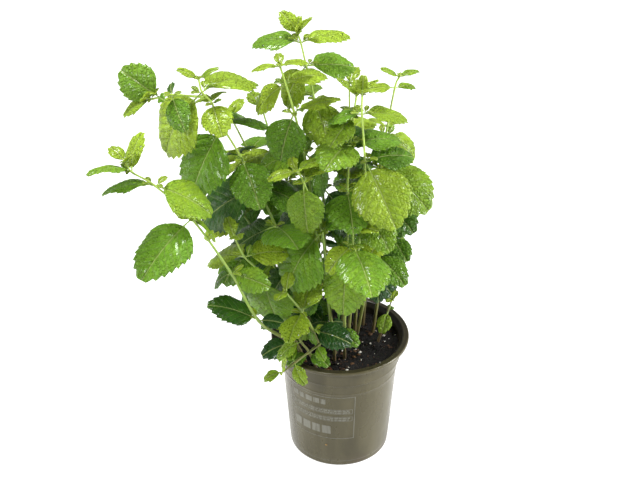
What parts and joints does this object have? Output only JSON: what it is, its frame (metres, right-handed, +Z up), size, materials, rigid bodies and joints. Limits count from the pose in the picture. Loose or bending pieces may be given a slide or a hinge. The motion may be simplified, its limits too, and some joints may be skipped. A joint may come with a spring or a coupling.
{
  "type": "potted mint plant",
  "caption": "Leafy mint plant in a round tapered plastic nursery pot with a wide rim band, filled with dark soil; toothed leaves in opposite pairs on square stems.",
  "frame": {"origin": "centre of the pot's underside, where the pot rests", "axes": "+Z up, the longest way, from the pot's foot to the tallest stem; +X to the right and -Y to the viewer as the picture shows the plant"},
  "size_m": [0.2605, 0.2037, 0.4031],
  "materials": {
    "pot": "satin",
    "soil": "matte",
    "mint": "satin"
  },
  "bodies": {
    "root": {"pot": "pot", "soil": "soil", "stem_tall_centre": "mint", "stem_front_centre": "mint", "stem_left_of_tall": "mint", "stem_mid_right": "mint", "stem_upper_left": "mint", "stem_left_sprawling": "mint", "stem_right_tall": "mint", "stem_right_mid": "mint", "stem_low_right": "mint", "stem_low_left": "mint", "stem_right_low": "mint", "stem_runner": "mint", "stem_front_low": "mint", "stem_back_centre": "mint", "stem_back_right": "mint", "stem_back_left": "mint", "stem_mid_left": "mint", "stem_left_back": "mint", "stem_front_right": "mint", "stem_front_left": "mint", "stem_right_back": "mint"}
  },
  "joints": []
}
